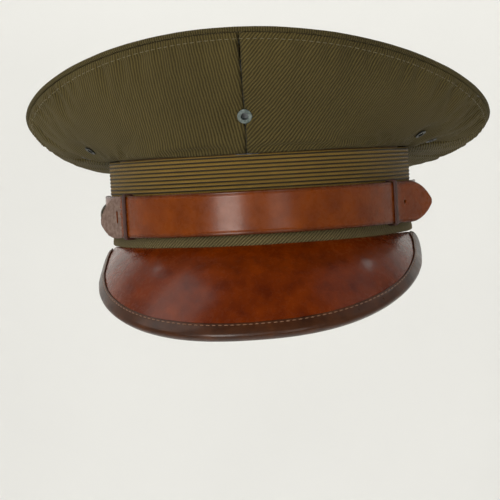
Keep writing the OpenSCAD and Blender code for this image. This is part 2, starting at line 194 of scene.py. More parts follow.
def band_radius(t, d):
    """Distance from the origin to the band's outline in direction t, offset outwards by d."""
    x, y = np.abs(sind(t)), np.abs(cosd(t))
    join_x = (SIDE_R + d) * cosd(JOIN_A) - SIDE_C
    join_y = (SIDE_R + d) * sind(JOIN_A)
    side = np.sqrt((SIDE_R + d) ** 2 - (SIDE_C * y) ** 2) - SIDE_C * x
    end = np.sqrt(np.maximum((END_R + d) ** 2 - (END_C * x) ** 2, 0)) + END_C * y
    return np.where(y * join_x < x * join_y, side, end)


def band_point(t, d, z):
    return along(band_radius(t, d), outward(t)) + up(z)


def top_z(rho, t):
    mean = (RIM_FRONT + RIM_BACK) / 2
    tilt = (RIM_FRONT - RIM_BACK) / 2 * cosd(t) - RIM_LEAN * sind(t)
    return (mean + RIM_SIDE) / 2 + rho * tilt + rho * rho * (mean - RIM_SIDE) / 2 * cosd(2 * t)


def top_point(rho, t, drop):
    x = rho * RIM_WIDTH / 2 * sind(t)
    y = RIM_SHIFT - rho * RIM_LENGTH / 2 * cosd(t)
    return vec(x, y, top_z(rho, t) - drop)


def crown_curve(t):
    low = band_point(t, -0.3, CROWN_BASE)
    high = top_point(1, t, 0)
    return (
        low,
        low + along(around(2, 17, 19, t), outward(t)) + up(around(19, 4, -1, t)),
        high + along(around(-5, 0, 4, t), outward(t)) + up(around(-18, -10, -32, t)),
        high,
    )


def crown_point(t, v):
    return bezier(crown_curve(t), v)


def crown_side(t, v):
    """The crown's side panels: v goes from 0 at the band to 1 just under the rim."""
    curve = crown_curve(t)
    reach = 1 - RIM_CLEARANCE / (3 * np.linalg.norm(curve[3] - curve[2], axis=-1))
    return bezier(curve, v * reach)


def crown_normal(t, v):
    turn = crown_point(t + 1, v) - crown_point(t - 1, v)
    rise = crown_point(t, v + 0.01) - crown_point(t, v - 0.01)
    return unit(np.cross(turn, rise))


def lining_side(t, v):
    low = band_point(t, -6.5, 42)
    high = top_point(0.9, t, 3.9)
    bend = high - along(around(3, 14, 15, t), outward(t)) + up(around(-16, -3, 0, t))
    return bezier((low, low + up(around(16, 16, 11, t)), bend, high), v)


def visor_arc(a):
    across = np.sign(a) * np.abs(sind(a)) ** VISOR_SQUARE
    forward = cosd(a) ** VISOR_SQUARE
    return vec(
        VISOR_WIDTH / 2 * across,
        VISOR_MID_Y - (BAND_LENGTH / 2 + VISOR_REACH + VISOR_MID_Y) * forward,
        -VISOR_SIDE_DROP - (VISOR_DROP - VISOR_SIDE_DROP) * forward,
    )


def visor_edge(s):
    """The visor's outer edge: an arc in front and a curve in to the band at each end."""
    past_front = np.clip((np.abs(s) - VISOR_FRONT_SHARE) / (1 - VISOR_FRONT_SHARE), 0, None)
    corner = (
        visor_arc(VISOR_FRONT_A),
        visor_arc(VISOR_FRONT_A + 9),
        vec(86.2, -29, -7.5),
        vec(83.8, -27, -3),
    )
    front = visor_arc(np.minimum(np.abs(s) / VISOR_FRONT_SHARE, 1) * VISOR_FRONT_A)
    edge = np.where((past_front > 0)[..., None], bezier(corner, past_front), front)
    edge[..., 0] *= np.sign(s)
    edge[..., 2] += VISOR_LEAN * edge[..., 0] / VISOR_WIDTH * 2
    return edge


def visor_face(s, v):
    """The visor's upper face: s goes round it from -1 to 1, v from its root to its edge."""
    s, v = np.broadcast_arrays(np.asarray(s, float), v)
    t = s * VISOR_END_A
    out, height, fall = VISOR_ROOT
    root = band_point(t, out, height - fall * s * s)
    bulge = VISOR_BULGE * cosd(85 * s) * sind(180 * v)
    swell = along(bulge, vec(0.77 * sind(t), -0.77 * cosd(t), 0.64))
    return along(1 - v, root) + along(v, visor_edge(s)) + swell


def visor_normal(s, v):
    rise = visor_face(s, v + 0.02) - visor_face(s, v - 0.02)
    turn = visor_face(s + 0.02, v) - visor_face(s - 0.02, v)
    return unit(np.cross(rise, turn))


def visor_point(s, v, depth):
    return visor_face(s, v) - along(depth, visor_normal(s, v))


def visor_ruling(s):
    return np.linalg.norm(visor_edge(s) - visor_face(s, 0), axis=-1)


# ---- camera, light and floor

AIM_AZIMUTH = 3.15
CAMERA_TURN = 0.5
CAMERA_PITCH = 2.86
CAMERA_ROLL = 3.13
CAMERA_DISTANCE = 902
CAMERA_HEIGHT = 37
FOCAL_SHARE = 3.187
CAP_MIDDLE = Vector((0, 0, 0.04))


def add_camera():
    """The camera stands in front of the cap, a little to its +X side, and looks slightly down."""
    data = bpy.data.cameras.new("camera")
    data.sensor_width = 36
    data.lens = FOCAL_SHARE * data.sensor_width
    data.clip_start = 0.05
    camera = bpy.data.objects.new("camera", data)
    scene.collection.objects.link(camera)
    heading = AIM_AZIMUTH + CAMERA_TURN
    ahead = Vector((
        -sind(heading) * cosd(CAMERA_PITCH),
        cosd(heading) * cosd(CAMERA_PITCH),
        -sind(CAMERA_PITCH),
    ))
    level = Vector((cosd(heading), sind(heading), 0))
    above = level.cross(ahead)
    right = level * cosd(CAMERA_ROLL) - above * sind(CAMERA_ROLL)
    top = above * cosd(CAMERA_ROLL) + level * sind(CAMERA_ROLL)
    place = Vector((
        CAMERA_DISTANCE * sind(AIM_AZIMUTH),
        -CAMERA_DISTANCE * cosd(AIM_AZIMUTH),
        CAMERA_HEIGHT,
    )) * MM
    turn = Matrix((right, top, -ahead)).transposed().to_4x4()
    camera.matrix_world = Matrix.Translation(place) @ turn
    scene.camera = camera


def around_cap(azimuth, elevation, distance):
    """A place seen from the cap, in metres; azimuth 0 is the front and 90 the +X side."""
    level = distance * cosd(elevation)
    rise = distance * sind(elevation)
    return CAP_MIDDLE + Vector((level * sind(azimuth), -level * cosd(azimuth), rise))


def add_softbox(name, place_, aim, size, watts, colour):
    """A rectangular lamp, its size in metres, that faces the point it is aimed at."""
    data = bpy.data.lights.new(name, "AREA")
    data.shape = "RECTANGLE"
    data.size, data.size_y = size
    data.energy = watts
    data.color = colour
    lamp = bpy.data.objects.new(name, data)
    scene.collection.objects.link(lamp)
    lamp.location = place_
    lamp.rotation_euler = (place_ - aim).to_track_quat("Z", "Y").to_euler()


def add_light():
    """Two tall windows in front, lamps above and below, and a lamp on the wall behind."""
    world = bpy.data.worlds.new("studio")
    world.use_nodes = True
    background = world.node_tree.nodes["Background"]
    background.inputs["Color"].default_value = (0.95, 0.97, 1.0, 1)
    background.inputs["Strength"].default_value = 0.07
    scene.world = world
    warm, cool = (1.0, 0.985, 0.95), (0.97, 0.985, 1.0)
    for name, place_, size, watts, colour in (
        ("window_left", around_cap(-19, 6, 1.55), (0.46, 0.85), 12.0, warm),
        ("window_right", around_cap(18, 6, 1.55), (0.34, 0.85), 2.2, warm),
        ("upper_left", around_cap(-72, 46, 1.6), (0.9, 1.1), 4.5, warm),
        ("upper_right", around_cap(80, 46, 1.6), (0.9, 1.1), 1.0, cool),
        ("top", around_cap(180, 78, 1.5), (1.2, 0.7), 3.0, cool),
        ("low_fill", Vector((0, -0.2, -0.9)), (1.4, 1.4), 1.6, warm),
    ):
        add_softbox(name, place_, CAP_MIDDLE, size, watts, colour)
    add_softbox("backdrop", Vector((0, 1.0, 1.75)), Vector((0, 2.3, 0)), (2.6, 1.0), 50, warm)


def add_stage():
    """A round pale floor that curves up into a wall all the way round."""
    floor_z = -1.0
    flat, bend, top = 1.6, 1.3, 3.6
    profile = [(0.0, floor_z), (flat * 0.5, floor_z), (flat, floor_z)]
    for step in range(1, 13):
        a = step / 12 * 90
        profile.append((flat + bend * sind(a), floor_z + bend * (1 - cosd(a))))
    profile.append((flat + bend, top))
    turns = np.arange(0, 360, 5.0)
    points = np.array([[(r * cosd(a), r * sind(a), z) for r, z in profile] for a in turns]) / MM
    stage = surface("studio_floor", points, floor_material(), loop=True)


# ---- meshes

def add_mesh(name, points, faces, material):
    """A smooth mesh from points in millimetres."""
    mesh = bpy.data.meshes.new(name)
    mesh.from_pydata((np.reshape(points, (-1, 3)) * MM).tolist(), [], faces)
    mesh.polygons.foreach_set("use_smooth", [True] * len(mesh.polygons))
    mesh.materials.append(material)
    piece = bpy.data.objects.new(name, mesh)
    scene.collection.objects.link(piece)
    return piece


def surface(name, points, material, uv=None, loop=False, tube=False, caps=False, flip=False):
    """A quad mesh over points[row][column], in millimetres.

    loop joins the last row to the first and tube joins the last column to the first. uv is in
    millimetres and has one row or column more in the direction that is joined.
    """
    rows, cols = points.shape[:2]
    i, j = np.meshgrid(
        np.arange(rows if loop else rows - 1), np.arange(cols if tube else cols - 1), indexing="ij"
    )
    i, j = i.ravel(), j.ravel()
    corners = [(i, j), (i + 1, j), (i + 1, j + 1), (i, j + 1)]
    if flip:
        corners.reverse()
    quads = np.stack([(a % rows) * cols + b % cols for a, b in corners], 1)
    faces = quads.tolist()
    if caps:
        first = list(range(cols))
        last = [(rows - 1) * cols + k for k in range(cols)]
        faces += [first[::-1], last] if not flip else [first, last[::-1]]
    piece = add_mesh(name, points, faces, material)
    if uv is not None:
        layer = piece.data.uv_layers.new(name="flat")
        values = np.stack([uv[a, b] for a, b in corners], 1).reshape(-1, 2) * MM
        padded = np.zeros((len(piece.data.loops), 2))
        padded[: len(values)] = values
        layer.data.foreach_set("uv", padded.ravel())
    return piece


def tidy_mesh(piece, merge=0.0, outwards=True):
    """Merges points that coincide, where asked, and turns all faces outwards."""
    work = bmesh.new()
    work.from_mesh(piece.data)
    if merge:
        bmesh.ops.remove_doubles(work, verts=work.verts, dist=merge * MM)
    if outwards:
        bmesh.ops.recalc_face_normals(work, faces=work.faces)
    work.to_mesh(piece.data)
    work.free()
    return piece


def thicken(piece, thickness):
    """Gives an open sheet its thickness, on the side away from its normals."""
    shell = piece.modifiers.new("thickness", "SOLIDIFY")
    shell.thickness = thickness * MM
    shell.offset = -1
    shell.use_even_offset = False
    return piece


def place(piece, body, slot, *nodes):
    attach(piece, body)
    if nodes:
        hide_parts(*nodes)
    return piece


def full_turn(grid):
    """Repeats the first row after the last one, where a form goes all the way round."""
    return np.concatenate([grid, grid[:1]])


def length_along(points, axis):
    """Distance travelled along an axis of a grid of points, from 0 at its start."""
    steps = np.linalg.norm(np.diff(points, axis=axis), axis=-1)
    start = np.zeros_like(np.take(steps, [0], axis=axis))
    return np.concatenate([start, np.cumsum(steps, axis=axis)], axis=axis)


def grid_normals(points):
    """The side that they point to follows from the order of rows and columns."""
    return unit(np.cross(np.gradient(points, axis=0), np.gradient(points, axis=1)))


def ripple(x, seed):
    """Smooth noise in about -1 to 1, with a wave length of about 6 units of x."""
    draw = np.random.default_rng(seed)
    total = 0
    for octave in range(4):
        phase, pace = draw.uniform(0, 360), draw.uniform(0.8, 1.25)
        total = total + 0.6**octave * sind(60 * x * pace * 1.7**octave + phase)
    return total / 2.2


BAND_TURNS = np.arange(0, 360, 1.5)
STITCH_STEPS = 8
THREAD_STEPS = 6


def band_sweep(name, profile, shape, material, slot):
    """Sweeps a closed profile of (offset, height) points round the band, varied by shape."""
    d, z = np.array(profile, float).T
    t = BAND_TURNS[:, None]
    d, z = shape(t, *np.broadcast_arrays(d[None, :], z[None, :] + 0 * t))
    points = band_point(t, d, z)
    closed = full_turn(points)
    u = length_along(closed, 0)[:, :1]
    wrapped = np.concatenate([z, z[:, :1]], 1)
    v = full_turn(wrapped)
    uv = stacked(u, v)
    piece = surface(name, points, material, uv, loop=True, tube=True)
    place(tidy_mesh(piece), "cap", slot, name)


def rod(name, path, radius, material, wobble=0.0):
    """A round rod along a closed path, with its section upright and square to the path."""
    sides = 14
    forward = unit(np.roll(path, -1, 0) - np.roll(path, 1, 0))
    side = unit(np.cross(forward, vec(0, 0, 1)))
    rise = np.cross(side, forward)
    a = np.arange(sides) * 360 / sides
    r = radius * (1 + wobble * ripple(np.arange(len(path)) / 3, 5))[:, None]
    points = path[:, None] + along(r * cosd(a), side[:, None]) + along(r * sind(a), rise[:, None])
    u = length_along(full_turn(path), 0)[:, None]
    v = np.arange(sides + 1)[None, :] * 2 * math.pi * radius / sides
    uv = stacked(u, v)
    return tidy_mesh(surface(name, points, material, uv, loop=True, tube=True))


def stitch_row(name, points, normals, radius, material):
    """Stitches that follow a line of points, STITCH_STEPS to each stitch and its gap."""
    forward = unit(np.gradient(points, axis=0))
    side = np.cross(forward, normals)
    ring = np.arange(0, 360, 60)
    sides = len(ring)
    verts, faces = [], []
    for first in range(0, len(points) - STITCH_STEPS + 1, STITCH_STEPS):
        base = len(verts)
        for m in range(THREAD_STEPS):
            k = first + m
            fullness = math.sin(math.pi * (m + 0.6) / (THREAD_STEPS + 0.2)) ** 0.5
            centre = points[k] + normals[k] * radius * (1.4 * fullness - 1.0)
            for a in ring:
                reach = radius * fullness
                verts.append(centre + reach * (cosd(a) * side[k] + 0.8 * sind(a) * normals[k]))
        for m in range(THREAD_STEPS - 1):
            for q in range(sides):
                p, n = base + m * sides + q, base + m * sides + (q + 1) % sides
                faces.append((p, n, n + sides, p + sides))
        last = base + (THREAD_STEPS - 1) * sides
        faces.append(tuple(range(base, base + sides))[::-1])
        faces.append(tuple(range(last, last + sides)))
    return tidy_mesh(add_mesh(name, verts, faces, material))


# ---- materials

def srgb(red, green, blue):
    """Linear colour from the 0 to 255 values that a screen shows."""
    def linear(c):
        c /= 255
        return c / 12.92 if c < 0.04045 else ((c + 0.055) / 1.055) ** 2.4
    return (linear(red), linear(green), linear(blue), 1)


class Paint:
    """A node material, built one node at a time round a Principled shader."""

    def __init__(self, name, **constants):
        self.material = bpy.data.materials.new(name)
        self.material.use_nodes = True
        self.tree = self.material.node_tree
        self.shader = self.tree.nodes["Principled BSDF"]
        for socket, value in constants.items():
            self.shader.inputs[socket.replace("_", " ")].default_value = value
        self.uv = self.tree.nodes.new("ShaderNodeTexCoord").outputs["UV"]
        self.object = self.uv.node.outputs["Object"]

    def put(self, socket, value):
        if isinstance(value, bpy.types.NodeSocket):
            self.tree.links.new(value, socket)
        else:
            socket.default_value = value

    def node(self, kind, inputs, out=0, **settings):
        node = self.tree.nodes.new("ShaderNode" + kind)
        for key, value in settings.items():
            setattr(node, key, value)
        for key, value in inputs.items():
            self.put(node.inputs[key], value)
        return node.outputs[out]

    def stretched(self, scale=(1, 1, 1), turn=0.0, source=None):
        return self.node("Mapping", {
            "Vector": source or self.uv,
            "Rotation": (0, 0, math.radians(turn)),
            "Scale": scale,
        })

    def noise(self, scale, detail=3.0, roughness=0.55, coords=None, distortion=0.0):
        return self.node("TexNoise", {
            "Vector": coords or self.uv, "Scale": scale, "Detail": detail,
            "Roughness": roughness, "Distortion": distortion,
        })

    def wave(self, pitch, coords, distortion=0.0, detail_scale=1.0, axis="X"):
        """Bands of the given pitch in millimetres; 0 at the origin and 1 half a pitch on."""
        return self.node("TexWave", {
            "Vector": coords, "Scale": math.pi / 10 / (pitch * MM),
            "Distortion": distortion, "Detail": 2.0, "Detail Scale": detail_scale,
        }, out=1, bands_direction=axis)

    def solid_noise(self, scale, detail=3.0, roughness=0.55):
        return self.noise(scale, detail, roughness, coords=self.object)

    def cells(self, scale):
        return self.node("TexVoronoi", {
            "Vector": self.object, "Scale": scale,
        }, feature="DISTANCE_TO_EDGE")

    def math(self, operation, a, b=0.0, c=0.0):
        return self.node("Math", {0: a, 1: b, 2: c}, operation=operation)

    def blend(self, share, a, b):
        return self.node("Mix", {0: share, 6: a, 7: b}, out=2, data_type="RGBA")

    def multiply(self, a, b):
        return self.node("Mix", {0: 1.0, 6: a, 7: b}, out=2, data_type="RGBA",
                         blend_type="MULTIPLY")

    def ramp(self, value, *stops):
        """Maps a value onto colours or greys; a stop is its place and its colour or level."""
        output = self.node("ValToRGB", {"Fac": value})
        elements = output.node.color_ramp.elements
        for index, (place_, colour) in enumerate(stops):
            if index >= len(elements):
                elements.new(place_)
            elements[index].position = place_
            level = colour if isinstance(colour, tuple) else (colour, colour, colour, 1)
            elements[index].color = level
        return output

    def bump(self, height, distance, under=None):
        inputs = {"Height": height, "Distance": distance * MM, "Strength": 1.0}
        if under is not None:
            inputs["Normal"] = under
        return self.node("Bump", inputs)

    def finish(self, colour, roughness, normal=None):
        self.put(self.shader.inputs["Base Color"], colour)
        self.put(self.shader.inputs["Roughness"], roughness)
        if normal is not None:
            self.put(self.shader.inputs["Normal"], normal)
        return self.material


def whipcord(name, light, dark, pitch=1.5, turn=0.0):
    """Wool twill, its ribs pitch mm apart along V of the flat pattern or turned from it; dark is
    painted shade in the grooves between the ribs.
    """
    paint = Paint(name, Sheen_Weight=0.12, Sheen_Roughness=0.5, Specular_IOR_Level=0.2)
    paint.shader.inputs["Sheen Tint"].default_value = srgb(190, 180, 140)
    ribs = paint.wave(pitch, paint.stretched(turn=turn), distortion=2.2, detail_scale=0.8)
    twist = paint.wave(0.62, paint.stretched(turn=turn + 62), distortion=1.0)
    fuzz = paint.noise(2600)
    patches = paint.solid_noise(16, 4.0)
    flecks = paint.noise(900, 2.0)
    thread = paint.blend(flecks, light, tuple(0.72 * c for c in light[:3]) + (1,))
    # Between the ribs the colour runs to dark: painted shade in the grooves. The flecks are the
    # yarn's own tone.
    groove = paint.math("MULTIPLY_ADD", ribs, 0.62, paint.math("MULTIPLY", flecks, 0.38))
    cloth = paint.blend(paint.ramp(groove, (0.15, 0.0), (0.75, 1.0)), dark, thread)
    worn = paint.ramp(patches, (0.3, 0.80), (0.72, 1.12))
    colour = paint.multiply(cloth, worn)
    height = paint.math("MULTIPLY_ADD", twist, 0.22, ribs)
    height = paint.math("MULTIPLY_ADD", fuzz, 0.30, height)
    return paint.finish(
        colour,
        paint.ramp(flecks, (0.0, 0.78), (1.0, 0.95)),
        paint.bump(height, 0.34),
    )


def braid_material():
    """Mohair braid: light ribs with painted shade darkening the grooves between, and slanting
    threads.
    """
    paint = Paint("ribbed_braid", Sheen_Weight=0.06, Sheen_Roughness=0.4, Specular_IOR_Level=0.3)
    paint.shader.inputs["Sheen Tint"].default_value = srgb(215, 195, 140)
    rib = paint.wave(RIB_PITCH, paint.stretched(), axis="Y")
    threads = paint.wave(0.74, paint.stretched(turn=38), distortion=0.8, detail_scale=0.8)
    fuzz = paint.noise(2400, 2.0)
    stretch = paint.noise(1, 3.0, coords=paint.stretched((60, 500, 1)))
    light = paint.blend(stretch, srgb(178, 142, 62), srgb(128, 100, 38))
    tone = paint.math("MULTIPLY_ADD", threads, 0.45, paint.math("MULTIPLY", fuzz, 0.35))
    crest = paint.blend(paint.ramp(tone, (0.1, 0.0), (0.65, 1.0)), srgb(88, 68, 22), light)
    # The near-black colour in the grooves between the ribs is painted shade.
    colour = paint.blend(paint.ramp(rib, (0.16, 0.0), (0.62, 1.0)), srgb(28, 21, 5), crest)
    height = paint.math("MULTIPLY_ADD", fuzz, 0.4, threads)
    return paint.finish(
        colour,
        paint.ramp(threads, (0.0, 0.7), (1.0, 0.5)),
        paint.bump(height, 0.22),
    )


def leather(name, light, dark, gloss=(0.2, 0.36), coat=0.3, waviness=0.12, grain=0.02):
    """Polished leather: mottled colour, fine grain, soft waves and rubbed spots.

    Gives the paint with its colour, roughness and normal, for more to be laid over them.
    """
    paint = Paint(name, Coat_Weight=coat, Coat_Roughness=0.16, Specular_IOR_Level=0.22)
    mottle = paint.solid_noise(90, 5.0, 0.6)
    fine = paint.solid_noise(1400)
    pores = paint.cells(1500)
    waves = paint.solid_noise(48)
    rubbed = paint.solid_noise(340, 4.0, 0.65)
    base = paint.blend(paint.ramp(mottle, (0.32, 0.0), (0.68, 1.0)), dark, light)
    spots = paint.ramp(rubbed, (0.62, 0.0), (0.80, 0.35))
    colour = paint.blend(spots, base, tuple(0.6 * c for c in dark[:3]) + (1,))
    rough = paint.ramp(rubbed, (0.3, gloss[0]), (0.75, gloss[1]))
    skin = paint.math("MULTIPLY_ADD", pores, 0.5, fine)
    return paint, colour, rough, paint.bump(skin, grain, paint.bump(waves, waviness))


def plain_leather(name, light, dark, **look):
    paint, colour, rough, normal = leather(name, light, dark, **look)
    return paint.finish(colour, rough, normal)


def strap_material(name, suede_end):
    """Russet strap leather, wrinkled near its ends, with its rough side out up to suede_end."""
    paint, colour, rough, normal = leather(
        name, srgb(128, 58, 2), srgb(104, 43, 0), gloss=(0.22, 0.36), coat=0.16, waviness=0.05
    )
    s = paint.node("SeparateXYZ", {"Vector": paint.uv})
    width = paint.math("ABSOLUTE", s.node.outputs[1])
    reach = paint.math("ABSOLUTE", s)
    width_share = paint.math("MULTIPLY", width, 1 / (STRAP_WIDTH / 2 * MM))
    # Darker towards both long edges: painted shade along the rounded edges.
    edge = paint.ramp(width_share, (0.80, 1.0), (0.99, 0.42))
    edge.node.color_ramp.interpolation = "EASE"
    colour = paint.multiply(colour, edge)
    cracks = paint.noise(1, 4.0, 0.6, coords=paint.stretched((900, 60, 1)))
    end_share = paint.math("MULTIPLY", reach, 1 / (WRINKLE_REACH * MM))
    near_end = paint.ramp(end_share, (0.45, 0.1), (0.95, 1.0))
    normal = paint.bump(paint.math("MULTIPLY", cracks, near_end), 0.11, normal)
    if suede_end is None:
        return paint.finish(colour, rough, normal)
    ragged = 7
    torn = paint.math("MULTIPLY_ADD", paint.noise(320, 4.0), ragged * MM, s)
    rough_side = paint.math("LESS_THAN", torn, (suede_end + ragged / 2) * MM)
    nap = paint.noise(1300, 4.0, 0.7)
    tone = paint.noise(420, 4.0, 0.65)
    suede = paint.blend(nap, srgb(112, 92, 82), srgb(158, 136, 124))
    suede = paint.blend(paint.ramp(tone, (0.40, 0.5), (0.60, 0.0)), suede, srgb(84, 56, 48))
    colour = paint.blend(rough_side, colour, suede)
    rough = paint.blend(rough_side, rough, (0.95, 0.95, 0.95, 1))
    height = paint.math("MULTIPLY", paint.math("ADD", nap, tone), rough_side)
    coat = paint.math("MULTIPLY_ADD", rough_side, -0.14, 0.14)
    paint.put(paint.shader.inputs["Coat Weight"], coat)
    return paint.finish(colour, rough, paint.bump(height, 0.16, normal))


def metal(name, light, dark, rough=(0.35, 0.6)):
    """Worn metal: tarnish in patches, with pits."""
    paint = Paint(name, Metallic=0.85)
    tarnish = paint.solid_noise(420, 5.0, 0.65)
    pits = paint.solid_noise(1900)
    share = paint.ramp(tarnish, (0.38, 0.0), (0.62, 1.0))
    return paint.finish(
        paint.blend(share, dark, light),
        paint.ramp(tarnish, (0.35, rough[1]), (0.65, rough[0])),
        paint.bump(paint.math("ADD", tarnish, pits), 0.05),
    )


def satin_material():
    """Lining satin: a fine weave with long floats, and soft creases."""
    paint = Paint("lining_satin", Sheen_Weight=0.3, Sheen_Roughness=0.3, Anisotropic=0.5)
    floats = paint.noise(1, 2.0, coords=paint.stretched((300, 5200, 1)))
    creases = paint.noise(38, distortion=0.6)
    stain = paint.solid_noise(9, 4.0)
    cloth = paint.blend(floats, srgb(142, 104, 58), srgb(168, 128, 78))
    colour = paint.blend(paint.ramp(stain, (0.45, 0.0), (0.75, 0.5)), cloth, srgb(92, 66, 38))
    return paint.finish(
        colour,
        paint.ramp(floats, (0.2, 0.36), (0.8, 0.5)),
        paint.bump(floats, 0.03, paint.bump(creases, 0.9)),
    )


def board_material():
    """Pressed fibre board with loose fibres and darker flecks."""
    paint = Paint("fibre_board", Specular_IOR_Level=0.3)
    fibres = paint.noise(1, 4.0, coords=paint.stretched((160, 900, 900), source=paint.object))
    flecks = paint.solid_noise(700, 2.0)
    board = paint.blend(fibres, srgb(122, 98, 66), srgb(164, 140, 104))
    colour = paint.blend(paint.ramp(flecks, (0.66, 0.0), (0.72, 0.6)), board, srgb(70, 52, 34))
    rough = paint.ramp(fibres, (0.3, 0.8), (0.7, 0.95))
    return paint.finish(colour, rough, paint.bump(fibres, 0.08))


def thread_material(name, light, dark):
    """Twisted sewing thread."""
    paint = Paint(name, Sheen_Weight=0.2, Specular_IOR_Level=0.4)
    strands = paint.solid_noise(1600, 2.0)
    rough = paint.ramp(strands, (0.3, 0.6), (0.7, 0.8))
    return paint.finish(paint.blend(strands, dark, light), rough, paint.bump(strands, 0.08))


def floor_material():
    """Matt studio white, very slightly uneven."""
    paint = Paint("studio_white", Specular_IOR_Level=0.2)
    cloud = paint.solid_noise(1.5, 2.0)
    colour = paint.ramp(cloud, (0.3, srgb(226, 226, 224)), (0.7, srgb(230, 230, 228)))
    rough = paint.ramp(cloud, (0.3, 0.88), (0.7, 0.94))
    return paint.finish(colour, rough)


# ---- crown

DRAPE_TURNS = 180
DRAPE_ROWS = 16
DRAPE_FRAMES = 24
DRAPE_LIMIT = 3.0
CLOTH_THICKNESS = 1.0
HEM = (4.0, 4.9)
SEAM_GAP = 0.07
TOP_RIB_ANGLE = 58
RIM_STITCHES = 236
RIM_STITCH_INSET = 3.2
BADGE_HOLE_R = 2.75
VENT_HOLE_R = 2.45


def simulate_drape():
    """How far the side cloth moves when it hangs slack between the band and the rim."""
    t = (np.arange(DRAPE_TURNS) * 360 / DRAPE_TURNS)[:, None]
    v = np.linspace(0, 1, DRAPE_ROWS)[None, :]
    start = crown_side(t, v)
    cloth_piece = surface("drape", start, bpy.data.materials.new("drape"), loop=True)
    pins = cloth_piece.vertex_groups.new(name="pins")
    index = np.arange(DRAPE_TURNS * DRAPE_ROWS).reshape(DRAPE_TURNS, DRAPE_ROWS)
    pins.add(index[:, [0, -1]].ravel().tolist(), 1.0, "REPLACE")
    cloth = cloth_piece.modifiers.new("cloth", "CLOTH")
    rules = cloth.settings
    rules.quality = 6
    rules.mass = 0.15
    rules.tension_stiffness = rules.compression_stiffness = 12
    rules.shear_stiffness = 4
    rules.bending_stiffness = 0.6
    rules.air_damping = 2
    rules.vertex_group_mass = "pins"
    rules.shrink_min = -0.035
    cloth.collision_settings.use_collision = False
    cloth.point_cache.frame_start = 1
    cloth.point_cache.frame_end = DRAPE_FRAMES
    for number in range(1, DRAPE_FRAMES + 1):
        scene.frame_set(number)
    hung = cloth_piece.evaluated_get(bpy.context.evaluated_depsgraph_get())
    ends = np.array([v.co for v in hung.data.vertices]).reshape(start.shape) / MM
    bpy.data.objects.remove(cloth_piece)
    scene.frame_set(1)
    return ends - start


def sample(field, row, col):
    """Smooth value of a grid at fractional rows, which go round, and columns, which end."""
    rows, cols = field.shape[:2]

    def weights(x):
        return (
            -0.5 * x + x**2 - 0.5 * x**3,
            1 - 2.5 * x**2 + 1.5 * x**3,
            0.5 * x + 2 * x**2 - 1.5 * x**3,
            -0.5 * x**2 + 0.5 * x**3,
        )

    i, j = np.floor(row).astype(int), np.floor(col).astype(int)
    total = 0
    for a, wa in enumerate(weights(row - i)):
        for b, wb in enumerate(weights(col - j)):
            near = field[(i + a - 1) % rows, np.clip(j + b - 1, 0, cols - 1)]
            total = total + along(wa * wb, near)
    return total


def crown_holes():
    """Centre, axis and bore radius of each eyelet's hole in the crown."""
    places = [(0.0, BADGE_V, BADGE_HOLE_R)] + [(t, VENT_V, VENT_HOLE_R) for t in VENTS]
    return [(crown_point(t, v), crown_normal(t, v), radius) for t, v, radius in places]


drape = simulate_drape()


def slack(t, v, points):
    """The drape's movement, kept under DRAPE_LIMIT and held still round the eyelets."""
    move = sample(drape, (t % 360) / 360 * DRAPE_TURNS, v * (DRAPE_ROWS - 1))
    size = np.linalg.norm(move, axis=-1, keepdims=True)
    move = move * DRAPE_LIMIT * np.tanh(size / DRAPE_LIMIT) / np.maximum(size, 1e-6)
    for centre, _, _ in crown_holes():
        distance = np.linalg.norm(points - centre, axis=-1)
        move = along(smoothstep(4, 16, distance), move)
    return move


def crown_skin(t, v):
    points = crown_side(t, v)
    return points + slack(t, v, points)


def turned(x, y, rib_angle):
    """Places on the flat pattern, turned so that V runs along the ribs."""
    u = x * sind(rib_angle) - y * cosd(rib_angle)
    return stacked(u, x * cosd(rib_angle) + y * sind(rib_angle))


def flat_pattern(points, mirrored, rib_angle):
    """Lays a panel out as the ring sector that it was cut from, then turns it to the ribs."""
    rows = length_along(points, 0)
    rise = length_along(points, 1)
    low, high = rows[:, 0], rows[:, -1]
    slant = rise[:, -1].mean()
    start_radius = low[-1] * slant / (high[-1] - low[-1])
    fan = (high[-1] - low[-1]) / slant
    angle = (fan * (low + high) / (low[-1] + high[-1]))[:, None]
    radius = start_radius + rise
    x = radius * np.sin(angle) * (-1 if mirrored else 1)
    y = radius * np.cos(angle) - start_radius
    return turned(x, y, rib_angle)


def cut_holes(piece, holes):
    """Opens the cloth round each eyelet and draws its edge in to a circle under the flange."""
    work = bmesh.new()
    work.from_mesh(piece.data)
    for centre, axis, radius in holes:
        centre, axis = Vector(centre * MM), Vector(axis)
        gone = [f for f in work.faces
                if any((v.co - centre).length < radius * MM for v in f.verts)]
        edge = {v for f in gone for v in f.verts if (v.co - centre).length >= radius * MM}
        bmesh.ops.delete(work, geom=gone, context="FACES")
        for vertex in edge:
            if vertex.is_valid:
                lift = (vertex.co - centre).dot(axis) * axis
                spoke = vertex.co - centre - lift
                vertex.co = centre + lift + spoke.normalized() * radius * MM
    work.to_mesh(piece.data)
    work.free()


